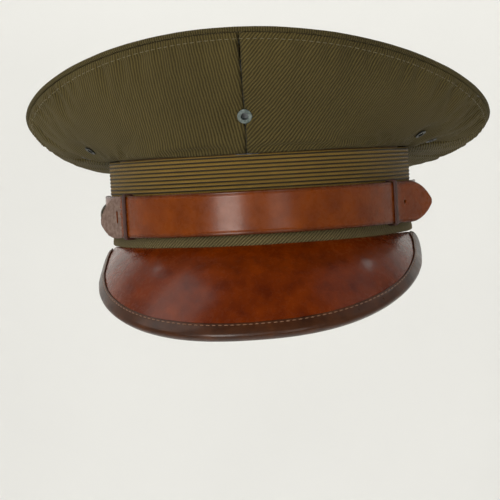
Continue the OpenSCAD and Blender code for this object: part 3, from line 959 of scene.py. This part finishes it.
def crown_panel(name, seam, away, rib_angle, material):
    """One side panel, from the seam that the pattern starts at to the side seam."""
    phase = np.linspace(0, 360, 112)
    spread = phase / 360 + (0.0275 * sind(2 * phase) - 0.05 * sind(phase)) / (2 * np.pi)
    t = (seam + away * (SEAM_GAP + (90 - 2 * SEAM_GAP) * spread))[:, None]
    v = np.concatenate([np.linspace(0, 0.88, 38)[:-1], np.linspace(0.88, 1, 15)])[None, :]
    t, v = np.broadcast_arrays(t, v)
    base = crown_skin(t, v)
    normal = grid_normals(base) * away
    from_seam = length_along(base, 0)
    from_side = from_seam[-1:] - from_seam
    from_band = length_along(base, 1)
    from_rim = from_band[:, -1:] - from_band
    lift = 0
    for distance in (from_seam, from_side):
        lift = lift - 0.6 * hump(distance, 0, 0.7) + 0.22 * hump(distance, 3.0, 1.8)
    lift = lift + 0.55 * (1 - smoothstep(*HEM, from_rim))
    lift = lift - 0.18 * hump(from_rim, RIM_STITCH_INSET, 0.5)
    lift = lift - 0.5 * hump(from_band, 0, 1.4)
    lift = lift + 0.05 * ripple(from_seam / 9 + 3 * v, 11) * smoothstep(0, 12, from_rim)
    points = base + along(lift, normal)
    uv = flat_pattern(base, away < 0, rib_angle)
    piece = surface(name, points, material, uv, flip=away < 0)
    cut_holes(piece, crown_holes())
    place(thicken(piece, CLOTH_THICKNESS), "cap", "crown_cloth", name)


def top_skin(rho, t):
    """The stretched top, a little sunk between the middle and the hoop under its edge."""
    sink = 0.8 * smoothstep(0.94, 0.75, rho) + 0.12 * ripple(rho * 14 + t / 40, 23) * (rho < 0.9)
    ridge = 0.35 * hump(rho, 0.94, 0.02)
    return top_point(rho, t, sink - ridge)


def crown_top(material):
    """The oval top, cut from one piece, with its edge turned in over the welt."""
    turns = np.arange(0, 360, 2.0)[:, None]
    rho = np.concatenate([np.linspace(0, 0.9, 34)[:-1], np.linspace(0.9, 1, 22)]) * TOP_REACH
    rho = rho[None, :]
    points = top_skin(rho, turns)
    from_edge = (TOP_REACH - rho) * RIM_WIDTH / 2
    lift = 0.45 * (1 - smoothstep(*HEM, from_edge))
    lift = lift - 0.15 * hump(from_edge, RIM_STITCH_INSET, 0.5)
    lift = lift - 0.4 * hump(from_edge, 0, 0.8)
    points = points + up(np.broadcast_to(lift, points.shape[:2]))
    x, y, _ = np.moveaxis(full_turn(points), -1, 0)
    uv = turned(x, y, TOP_RIB_ANGLE)
    piece = surface("crown_top", points, material, uv, loop=True, flip=True)
    tidy_mesh(piece, merge=0.01, outwards=False)
    thicken(piece, CLOTH_THICKNESS)
    place(piece, "cap", "crown_cloth", "crown_top")


def rim_stitches(material):
    """A row of top stitching on either side of the rim."""
    count = STITCH_STEPS * RIM_STITCHES
    t = np.arange(count) * 360 / count
    curve = crown_curve(t)
    length = np.linalg.norm(curve[3] - curve[2], axis=-1) * 3
    v = 1 - (RIM_STITCH_INSET - WELT_DROP) / length
    normals = crown_normal(t, v)
    side = crown_skin(t, v) + normals * 0.5
    place(stitch_row("rim_stitches_side", side, normals, 0.24, material), "cap", "crown_cloth")
    rho = TOP_REACH - RIM_STITCH_INSET / (RIM_WIDTH / 2)
    top = top_skin(rho, t) + up(np.full(count, 0.42))
    upright = np.broadcast_to(vec(0, 0, 1), top.shape)
    place(stitch_row("rim_stitches_top", top, upright, 0.24, material), "cap", "crown_cloth")


def build_crown():
    cloth = whipcord("crown_whipcord", srgb(102, 89, 49), srgb(50, 42, 20))
    crown_panel("quarter_front_left", 0, -1, 103, cloth)
    crown_panel("quarter_front_right", 0, 1, 45, cloth)
    crown_panel("quarter_back_right", 180, -1, 64, cloth)
    crown_panel("quarter_back_left", 180, 1, 118, cloth)
    crown_top(cloth)
    welt_cloth = whipcord("welt_whipcord", srgb(96, 84, 47), srgb(46, 39, 19), pitch=1.2)
    turns = np.arange(0, 360, 1.0)
    welt = rod("rim_welt", top_point(1, turns, WELT_DROP), WELT_R * 1.02, welt_cloth, wobble=0.05)
    place(welt, "cap", "crown_cloth", "rim_welt")
    rim_stitches(thread_material("olive_thread", srgb(120, 110, 74), srgb(84, 76, 48)))


# ---- band

RIB_PITCH = 2
SWEAT_HEIGHT = 38
SWEAT_STITCHES = 150
SWEAT_SEAM = (-6.32, 2.6)
REED_OFFSET = -4.15
REED_R = 0.88


def braid_profile():
    """Round ribs on the outer face, and a plain back."""
    ribs = round((BAND_HEIGHT - BRAID_LOW) / RIB_PITCH)
    profile = []
    for rib in range(ribs):
        for share in (0.04, 0.16, 0.32, 0.5, 0.68, 0.84, 0.96):
            crown = 0.5 * math.sin(math.pi * share) ** 0.6
            profile.append((-0.5 + crown, BRAID_LOW + RIB_PITCH * (rib + share)))
    return profile + [
        (-0.9, BAND_HEIGHT - 0.02), (-1.15, BAND_HEIGHT - 0.2),
        (-1.15, BRAID_LOW + 0.2), (-0.9, BRAID_LOW + 0.02),
    ]


def braid_join(t, d, z):
    """The braid's ends meet in a lapped seam at the middle of the back."""
    from_back = np.radians(t - 180) * BAND_LENGTH / 2
    lap = 0.45 * smoothstep(-0.3, 0.3, from_back) * (1 - smoothstep(9, 12, from_back))
    waver = 0.05 * ripple(t / 5 + z / 9, 3)
    return d + (lap + waver) * (d > -1), z


def bead_profile():
    """Cloth strip that runs down behind the braid, swells and rolls under into a bead."""
    middle, radius, low = -0.9, 1.0, 0.3
    roll = [(middle + radius * cosd(a), low + radius * sind(a)) for a in range(20, -201, -20)]
    outer = [(-1.35, 9), (-1.3, 7), (-0.9, 5), (-0.2, 3), (0.05, 1.6)]
    return outer + roll + [(-2.4, 2), (-2.3, 9)]


def cloth_waver(t, d, z):
    return d + 0.06 * ripple(t / 4 + z / 3, 8), z + 0.12 * ripple(t / 7, 9) * (z < 2)


def sweat_shape(t, d, z):
    """The leather's top edge waves a little, and its ends meet at the back."""
    high = z / SWEAT_HEIGHT
    gap = 0.5 * hump(t, 180, 0.41)
    out = gap * (d < -6) + 0.2 * ripple(t / 9, 31) * high**2
    return d + out, z + 0.8 * ripple(t / 12, 32) * high**4 - 0.2 * high


def build_band():
    strip = whipcord("band_whipcord", srgb(128, 114, 76), srgb(70, 60, 36), pitch=1.3, turn=48)
    band_sweep("band_cloth", bead_profile(), cloth_waver, strip, "band_strip")
    band_sweep("band_braid", braid_profile(), braid_join, braid_material(), "braid")
    skin = plain_leather("sweat_leather", srgb(176, 126, 84), srgb(128, 84, 52),
                         gloss=(0.4, 0.6), coat=0.05, waviness=0.3, grain=0.05)
    profile = [(-5.35, 0.1), (-5.25, 1), (-5.25, 20), (-5.25, 37.4), (-5.5, 37.9), (-5.95, 37.9),
               (-6.25, 37.4), (-6.3, 34), (-6.3, 33.6), (-6.1, 33.3), (-6.3, 33.0), (-6.3, 20),
               (-6.3, 1), (-6.2, 0.1), (-5.8, -0.1)]
    band_sweep("sweatband", profile, sweat_shape, skin, "sweat_leather")
    reed_path = band_point(BAND_TURNS, REED_OFFSET, 0 * BAND_TURNS)
    reed = rod("sweatband_reed", reed_path, REED_R, skin)
    place(reed, "cap", "sweat_leather", "sweatband_reed")
    t = np.arange(0, 360, 360 / (STITCH_STEPS * SWEAT_STITCHES))
    seam = band_point(t, SWEAT_SEAM[0], SWEAT_SEAM[1] + 0 * t)
    thread = thread_material("tan_thread", srgb(196, 168, 122), srgb(150, 122, 84))
    inwards = -outward(t)
    place(stitch_row("sweatband_stitches", seam, inwards, 0.26, thread), "cap", "sweat_leather")


def build_lining():
    satin = satin_material()
    t = np.arange(0, 360, 2.0)[:, None]
    v = np.linspace(0, 1, 26)[None, :]
    points = lining_side(t, v)
    points = points - up(np.abs(0.16 * ripple(t / 3, 41) * sind(180 * v)))
    closed = full_turn(points)
    uv = stacked(length_along(closed, 0)[:, 12:13], length_along(closed, 1))
    side = thicken(surface("lining_side", points, satin, uv, loop=True), 0.45)
    place(side, "cap", "lining_cloth", "lining_side")
    rho = np.linspace(0, 0.894, 30)[None, :]
    points = top_point(rho, t, 2.65 + 0.35 * np.abs(ripple(rho * 20, 44)) * (rho < 0.85))
    uv = full_turn(points)[..., :2]
    disc = surface("lining_top", points, satin, uv, loop=True, flip=True)
    tidy_mesh(disc, merge=0.01, outwards=False)
    place(thicken(disc, 0.5), "cap", "lining_cloth", "lining_top")


# ---- chin strap

def walk(offset, segments):
    """Path along the +X side from the front's middle; a segment is (length, turn)."""
    place_ = np.array([0.0, -(BAND_LENGTH / 2 + offset)])
    heading = 0.0
    points, headings = [place_], [heading]
    for length, turn in segments:
        count = max(1, round(length / WALK_STEP))
        for _ in range(count):
            heading += turn / count
            middle = heading - turn / count / 2
            place_ = place_ + length / count * np.array([cosd(middle), sind(middle)])
            points.append(place_)
            headings.append(heading)
    return np.array(points), np.array(headings)


def arc(radius, turn):
    return (radius * math.radians(abs(turn)), turn)


def strap_path(offset, left, right):
    """Both sides' walks joined, from the -X end to the +X end, with s = 0 at the front."""
    sides = []
    for sign, segments in ((-1, left), (1, right)):
        points, headings = walk(offset, segments)
        distance = length_along(points, 0)
        sides.append((sign * distance, points * (sign, 1), sign * headings))
    return [np.concatenate([before[:0:-1], after]) for before, after in zip(*sides)]


def strap_stations(s_low, s_high):
    """Places along a strap, closer together near its two tips."""
    near = STRAP_WIDTH * (1 - cosd(np.linspace(0, 90, 34)))
    middle = np.arange(s_low + STRAP_WIDTH, s_high - STRAP_WIDTH, 1.0)
    return np.concatenate([s_low + near, middle[1:], (s_high - near)[::-1]])


FACE_INSETS = (
    0.02, 0.15, 0.35, 0.6, 0.9, 1.25, 1.45, 1.6, 1.75, 1.95, 2.4, 3.2, 4.6, 6.4, 8.4, 10.2
)
BACK_SHARES = (-0.985, -0.9, -0.6, -0.2, 0.2, 0.6, 0.9, 0.985)


def strap_piece(name, path, thickness, half_width, droop, material, seed):
    """A leather strap with rounded edges and a line pressed in beside each edge."""
    s_all, xy_all, heading_all = path
    s = strap_stations(s_all[0], s_all[-1])
    x, y = np.interp(s, s_all, xy_all[:, 0]), np.interp(s, s_all, xy_all[:, 1])
    heading = np.interp(s, s_all, heading_all)
    from_tip = np.minimum(s - s[0], s[-1] - s)
    half = half_width(from_tip)
    full = STRAP_WIDTH / 2
    shares = 1 - np.array(FACE_INSETS) / full
    share = np.concatenate([shares, -shares[::-1], BACK_SHARES])[None, :]
    outer = (np.arange(share.size) < 2 * len(shares))[None, :]
    inset = full * (1 - np.abs(share))
    ends = np.sqrt(np.clip(from_tip / 0.9, 0.02, 1))[:, None]
    round_edge = 0.55 * (1 - np.sqrt(np.clip(1 - (1 - np.clip(inset / 0.9, 0, 1)) ** 2, 0, 1)))
    crease = 0.13 * hump(inset, 1.6, 0.24) - 0.07 * hump(inset, 2.6, 0.7)
    pull = smoothstep(40, 75, np.abs(s))[:, None]
    z_flat = half[:, None] * share
    wrinkle = 0.055 * pull * ripple(s[:, None] * 1.5 + 0.5 * ripple(z_flat / 3, seed + 1), seed)
    waver = 0.05 * ripple(s / 9, seed + 2)[:, None]
    face_height = thickness / 2 - round_edge - crease + wrinkle + waver
    back_height = -thickness / 2 + 0.3 * (1 - np.clip(inset / 0.5, 0, 1))
    height = np.where(outer, face_height, back_height) * ends
    z = STRAP_Z + z_flat + droop(s, from_tip)[:, None]
    points = vec(
        x[:, None] + height * sind(heading)[:, None],
        y[:, None] - height * cosd(heading)[:, None],
        z,
    )
    share_closed = np.concatenate([share, share[:, :1]], 1)
    uv = stacked(s[:, None], half[:, None] * share_closed)
    return tidy_mesh(surface(name, points, material, uv, tube=True, caps=True))


def pointed(from_tip):
    """Half the strap's width where its end is a point between two arcs."""
    arch_r = STRAP_WIDTH / 2 + TAIL_ARCH
    return np.sqrt(arch_r**2 - (POINT - np.clip(from_tip, 0, POINT)) ** 2) - TAIL_ARCH


def rounded(from_tip):
    """Half the strap's width where its end is a half circle."""
    r = STRAP_WIDTH / 2
    return np.maximum(np.sqrt(np.maximum(r**2 - (r - np.clip(from_tip, 0, r)) ** 2, 0)), 0.1)


def level(s, _):
    return 0 * s


def sagging(s, from_tip):
    """The free ends hang a little under their own weight, the -X end more."""
    free = np.clip(TAIL - from_tip, 0, None) / TAIL
    return -(free**1.6) * np.where(s < 0, 2.6, 0.7)


def slot_cutter(work):
    """A slot across the strap with rounded corners."""
    size = Vector((*SLOT_SIZE, CUT_DEPTH)) * MM
    bmesh.ops.create_cube(work, size=1)
    bmesh.ops.scale(work, vec=size, verts=work.verts)
    corners = [e for e in work.edges if abs(e.verts[0].co.z - e.verts[1].co.z) > MM]
    bmesh.ops.bevel(work, geom=corners, offset=0.4 * MM, segments=3, affect="EDGES")


def hole_cutter(work):
    r = PIN_HOLE_R * MM
    bmesh.ops.create_cone(
        work, cap_ends=True, segments=32, radius1=r, radius2=r, depth=CUT_DEPTH * MM
    )


def bore(piece, path, s, build_cutter):
    """Cuts a cutter's shape through a strap at a place on its path."""
    s_all, xy_all, heading_all = path
    x, y, heading = (np.interp(s, s_all, track) for track in (*xy_all.T, heading_all))
    work = bmesh.new()
    build_cutter(work)
    mesh = bpy.data.meshes.new("cutter")
    work.to_mesh(mesh)
    work.free()
    cutter = bpy.data.objects.new("cutter", mesh)
    scene.collection.objects.link(cutter)
    outwards = Vector((sind(heading), -cosd(heading), 0))
    sideways = outwards.cross(Vector((0, 0, 1)))
    turn = Matrix((Vector((0, 0, 1)), sideways, outwards)).transposed().to_4x4()
    cutter.matrix_world = Matrix.Translation(Vector((x, y, STRAP_Z)) * MM) @ turn
    cut = piece.modifiers.new("cut", "BOOLEAN")
    cut.object = cutter
    cut.solver = "EXACT"
    bpy.context.view_layer.update()
    cut_piece = piece.evaluated_get(bpy.context.evaluated_depsgraph_get())
    made = bpy.data.meshes.new_from_object(cut_piece)
    piece.modifiers.remove(cut)
    piece.data = made
    bpy.data.objects.remove(cutter)


def rounded_rectangle(half_width, half_height, corner, steps):
    """Points (x, y, direction) round a rectangle with rounded corners, about its middle."""
    points = []
    for x, y, start in ((1, 1, 0), (-1, 1, 90), (-1, -1, 180), (1, -1, 270)):
        for a in np.linspace(start, start + 90, steps):
            points.append((
                x * (half_width - corner) + corner * cosd(a),
                y * (half_height - corner) + corner * sind(a),
                a,
            ))
    return points


def keeper(name, angle, mirrored, material):
    """A leather loop round both straps, on the +X side or mirrored to the other."""
    half_leather = KEEPER_LEATHER / 2
    middle = (KEEPER_SPAN[0] + KEEPER_SPAN[1]) / 2
    half_depth = (KEEPER_SPAN[1] - KEEPER_SPAN[0]) / 2 - half_leather
    half_height = STRAP_WIDTH / 2 + KEEPER_PLAY + half_leather
    outline = rounded_rectangle(half_depth, half_height, 1.0, 7)
    ring = []
    for (d0, z0, a0), (d1, z1, _) in zip(outline, outline[1:] + outline[:1]):
        ring.append((d0, z0, a0))
        if math.hypot(d1 - d0, z1 - z0) > 1:
            for share in np.linspace(0, 1, 12)[1:-1]:
                ring.append((d0 + (d1 - d0) * share, z0 + (z1 - z0) * share, a0))
    section = rounded_rectangle(KEEPER_WIDTH / 2, half_leather, 0.28, 4)
    tangent = np.array([sind(angle), cosd(angle), 0])
    radial = np.array([cosd(angle), -sind(angle), 0])
    rows = []
    for k, (d, z, a) in enumerate(ring):
        waver = 0.06 * ripple(np.float64(k) / 4, 51)
        centre = np.array([-SIDE_C, 0, STRAP_Z + z]) + radial * (SIDE_R + middle + d)
        normal = radial * cosd(a) + np.array([0, 0, sind(a)])
        rows.append([centre + normal * (out + waver) + tangent * w for w, out, _ in section])
    points = np.array(rows)
    if mirrored:
        points = points * (-1, 1, 1)
    closed = full_turn(points)
    u = length_along(closed, 0)[:, :1]
    v = np.arange(len(section) + 1)[None, :] * 0.5
    uv = stacked(u, v)
    piece = tidy_mesh(surface(name, points, material, uv, loop=True, tube=True))
    place(piece, name, "keeper_leather", name)


def half_strap(middle, keeper_a, lift):
    """From the front's middle round the band, out at the bend and along the free end."""
    return [
        arc(END_R + middle, 90 - JOIN_A),
        arc(SIDE_R + middle, JOIN_A - keeper_a + KEEPER_TO_BEND),
        arc(BEND_R - middle, -lift),
        (TAIL, 0),
    ]


def build_strap():
    middle = sum(OUTER_STRAP) / 2
    outer = strap_path(
        middle,
        half_strap(middle, KEEPER_LEFT_A, LEFT_LIFT),
        half_strap(middle, KEEPER_RIGHT_A, RIGHT_LIFT),
    )
    s_low, s_high = outer[0][0], outer[0][-1]
    bend = math.radians(LEFT_LIFT) * (BEND_R - middle) + math.radians(KEEPER_TO_BEND) * SIDE_R
    leather_ = strap_material("strap_leather", s_low + TAIL + bend - ROUGH_BEFORE_KEEPER)
    thickness = OUTER_STRAP[1] - OUTER_STRAP[0]
    piece = strap_piece("strap_outer", outer, thickness, pointed, sagging, leather_, 61)
    bore(piece, outer, s_low + TAIL - SLOT_FROM_KEEPER, slot_cutter)
    bore(piece, outer, s_high - TAIL + PIN_HOLE_FROM_KEEPER, hole_cutter)
    place(piece, "chin_strap", "strap_leather", "strap_outer")
    middle = sum(INNER_STRAP) / 2
    past_button = math.degrees(STRAP_WIDTH / 2 / (SIDE_R + middle))
    side = [arc(END_R + middle, 90 - JOIN_A), arc(SIDE_R + middle, JOIN_A + past_button)]
    inner = strap_path(middle, side, side)
    leather_ = strap_material("inner_strap_leather", None)
    thickness = INNER_STRAP[1] - INNER_STRAP[0]
    piece = strap_piece("strap_inner", inner, thickness, rounded, level, leather_, 71)
    place(piece, "chin_strap", "strap_leather", "strap_inner")
    dark = plain_leather("keeper_leather", srgb(84, 50, 42), srgb(50, 30, 27),
                         gloss=(0.45, 0.65), coat=0.08)
    keeper("keeper_left", KEEPER_LEFT_A, True, dark)
    keeper("keeper_right", KEEPER_RIGHT_A, False, dark)


def lathe(name, profile, side, material):
    """Turns a profile of (radius, distance from the braid) round a side button's axis."""
    turns = np.arange(0, 360, 7.5)
    r, reach = np.array(profile, float).T
    x = side * (BAND_WIDTH / 2 + reach)
    points = vec(
        np.broadcast_to(x, (len(turns), len(x))),
        cosd(turns)[:, None] * r,
        STRAP_Z + sind(turns)[:, None] * r,
    )
    piece = surface(name, points, material, loop=True)
    return tidy_mesh(piece, merge=0.002)


def button_profile():
    """Shank, back plate, rolled rim and a plain dome with a fine step inside the rim."""
    dome_r, rise, base = 7.0, 4.5, 3.3
    profile = [(0, -4.85), (1.2, -4.85), (1.2, base), (5.6, base), (6.3, base + 0.02)]
    profile += [(6.45 + 0.55 * cosd(a), base + 0.6 + 0.55 * sind(a)) for a in range(-75, 106, 20)]
    sphere = (dome_r**2 + rise**2) / (2 * rise)
    for r in (6.0, 5.75, 5.4, 4.8, 4.0, 3.0, 2.0, 1.0, 0.0):
        lift = math.sqrt(sphere**2 - r**2) - (sphere - rise)
        profile.append((r, base + lift + (0.0 if r < 5.9 else -0.15)))
    return profile


# ---- visor

VISOR_STITCH = 3.1
GROOVE_INSET = 5.25
GROOVE_DEPTH = -0.72


def visor_sheet(name, depth, thickness, underside, material, slot):
    s = np.linspace(-VISOR_END, VISOR_END, 150)[:, None]
    v = np.linspace(-0.02, 0.985, 44)[None, :]
    waver = 0.12 * ripple(s * 9 + v * 2, 81) * np.sin(np.pi * np.clip(v, 0, 1))
    points = visor_point(s, v, depth + waver * (0.3 if underside else 1))
    around_edge = length_along(visor_edge(s[:, 0]), 0)[:, None]
    uv = stacked(around_edge - around_edge[-1] / 2, length_along(points, 1))
    piece = surface(name, points, material, uv, flip=not underside)
    return place(thicken(piece, thickness), "cap", slot, name)


def binding_section():
    """(inset from the edge, depth) round the folded strip of leather, outside then inside."""
    bottom = VISOR_BOTTOM
    outside = [
        (6.55, -0.22), (6.45, -0.55), (6.1, -0.78), (5.6, -0.82), (GROOVE_INSET, -0.68),
        (4.9, -0.80),
        (4.0, -0.90), (2.2, -0.95), (0.9, -0.92), (0.0, -0.80), (-0.7, -0.45), (-1.15, 0.1),
        (-1.42, 0.9), (-1.5, 2.0), (-1.45, 3.1), (-1.2, 4.0), (-0.75, 4.55), (0.0, 4.88),
        (0.9, bottom + 0.88), (3.0, bottom + 0.88), (5.0, bottom + 0.84),
        (6.2, bottom + 0.72), (6.5, bottom + 0.3),
    ]
    inside = [(0.6, bottom + 0.15), (-0.3, bottom - 0.7), (-0.3, 0.8), (0.6, -0.15)]
    return np.array(outside + inside)


def binding_reach(inset, s):
    """Turns insets into places along the ruling, drawn in where the visor is too short."""
    ruling = visor_ruling(s)
    grip = np.minimum(1, 0.7 * ruling / BINDING_WIDTH)
    return 1 - np.maximum(inset * grip, np.where(inset < 1, inset, 0)) / ruling


def visor_binding(material, thread):
    s = np.linspace(-VISOR_END, VISOR_END, 180)[:, None]
    inset, depth = binding_section().T[:, None, :]
    edge = length_along(visor_edge(s[:, 0]), 0)[:, None]
    waver = 0.10 * ripple(edge / 5, 91)
    widths = np.where(inset > 4.5, inset + 0.18 * ripple(edge / 7, 92), inset)
    lift = np.where(depth < 0, -waver, 0)
    points = visor_point(s + 0 * inset, binding_reach(widths, s), depth + 0 * s + lift)
    run = length_along(binding_section(), 0)
    v = np.concatenate([run, [run[-1] + 6]])[None, :]
    uv = stacked(edge, v)
    piece = tidy_mesh(surface("visor_binding", points, material, uv, tube=True, caps=True))
    place(piece, "cap", "binding_leather", "visor_binding")
    fine = np.linspace(-VISOR_END * 0.985, VISOR_END * 0.985, 3000)
    travelled = length_along(visor_edge(fine), 0)
    even = np.interp(np.arange(0, travelled[-1], VISOR_STITCH / STITCH_STEPS), travelled, fine)
    groove = binding_reach(np.full_like(even, GROOVE_INSET), even)
    rows = visor_point(even, groove, GROOVE_DEPTH + 0 * even)
    normals = visor_normal(even, groove)
    place(stitch_row("visor_stitches", rows, normals, 0.26, thread), "cap", "binding_leather")


def build_visor():
    top = plain_leather("visor_leather", srgb(116, 44, 0), srgb(84, 26, 0),
                        gloss=(0.2, 0.34), coat=0.22, waviness=0.35, grain=0.012)
    under = plain_leather("visor_under_leather", srgb(66, 68, 46), srgb(44, 46, 28),
                          gloss=(0.5, 0.7), coat=0.0, waviness=0.2, grain=0.05)
    visor_sheet("visor_top", 0, VISOR_SKIN, False, top, "visor_leather")
    visor_sheet("visor_underside", VISOR_BOTTOM, VISOR_LINING, True, under, "visor_under_leather")
    edge = plain_leather("binding_leather", srgb(78, 42, 18), srgb(46, 22, 8),
                         gloss=(0.26, 0.46), coat=0.25, waviness=0.15, grain=0.03)
    visor_binding(edge, thread_material("visor_thread", srgb(156, 114, 84), srgb(112, 78, 56)))


# ---- fittings that the CAD keeps

def finish_fittings():
    eyelet = metal("tarnished_eyelet", srgb(142, 152, 148), srgb(92, 102, 98))
    # The vent eyelets get darker metal than the badge eyelet: painted shade, as they sit in
    # shadow. The patches over it are tarnish.
    vent = metal("shaded_vent_eyelet", srgb(86, 88, 82), srgb(44, 44, 40))
    button = metal("bronzed_button", srgb(96, 84, 58), srgb(48, 42, 32), rough=(0.3, 0.55))
    steel = metal("spring_steel", srgb(150, 152, 156), srgb(110, 110, 112), rough=(0.25, 0.5))
    board = board_material()
    for side, name in ((-1, "left"), (1, "right")):
        piece = lathe("side_button_" + name, button_profile(), side, button)
        place(piece, "button_" + name, "button_bronze", "side_button_" + name)
    for finish, nodes in (
        (eyelet, ("badge_eyelet", "badge_eyelet_washer")),
        (vent, ("vent_eyelets_left", "vent_eyelets_right")),
        (button, ("button_washer_left", "button_washer_right")),
        (steel, ("rim_hoop", "front_stay")),
        (board, ("band_stiffener", "visor_core")),
    ):
        for node in nodes:
            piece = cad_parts[node]
            piece.data.materials.clear()
            piece.data.materials.append(finish)


add_camera()
add_light()
add_stage()
build_crown()
build_band()
build_lining()
build_strap()
build_visor()
finish_fittings()
scene.view_settings.view_transform = "Standard"
